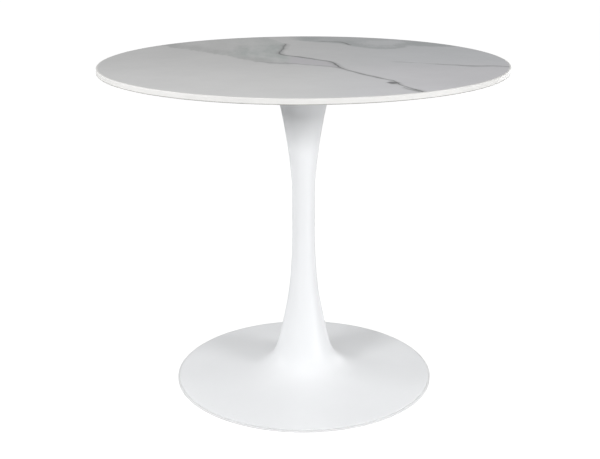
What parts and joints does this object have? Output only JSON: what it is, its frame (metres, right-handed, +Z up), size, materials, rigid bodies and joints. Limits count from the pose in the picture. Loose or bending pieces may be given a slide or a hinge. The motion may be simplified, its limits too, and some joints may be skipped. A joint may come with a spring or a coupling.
{
  "type": "round pedestal table",
  "caption": "Round dining table: a thin stone disc with a grey-veined face on a white spun-steel trumpet pedestal that flares into a wide, flat, thin-edged dish.",
  "frame": {"origin": "on the floor, on the axis of the column", "axes": "+Z up, along the axis of the column; the picture looks along +Y, with +X to the right"},
  "size_m": [0.9, 0.9, 0.75],
  "materials": {
    "printed_stone": "satin",
    "powder_white": "satin",
    "bright_zinc": "satin",
    "spring_steel": "satin",
    "mill_steel": "satin",
    "cast_iron": "matte",
    "black_steel": "matte",
    "clear_silicone": "satin",
    "grey_plastic": "matte",
    "black_plastic": "matte"
  },
  "bodies": {
    "root": {"tabletop_slab": "printed_stone", "slab_anchors": "bright_zinc", "plate_pads": "clear_silicone", "mounting_plate": "powder_white", "anchor_screws": "bright_zinc", "anchor_washers": "bright_zinc", "head_screws": "bright_zinc", "head_flange": "mill_steel", "upper_column": "powder_white", "waist_sleeve": "mill_steel", "lower_column": "powder_white", "throat_cup": "mill_steel", "base_dish": "powder_white", "tie_rod": "bright_zinc", "rod_weld_nut": "bright_zinc", "rod_washer": "bright_zinc", "rod_lock_washer": "spring_steel", "rod_nut": "bright_zinc", "ballast_weight": "cast_iron", "base_cover": "black_steel", "cover_screws": "bright_zinc", "access_plug": "black_plastic", "foot_ring": "grey_plastic"}
  },
  "joints": []
}
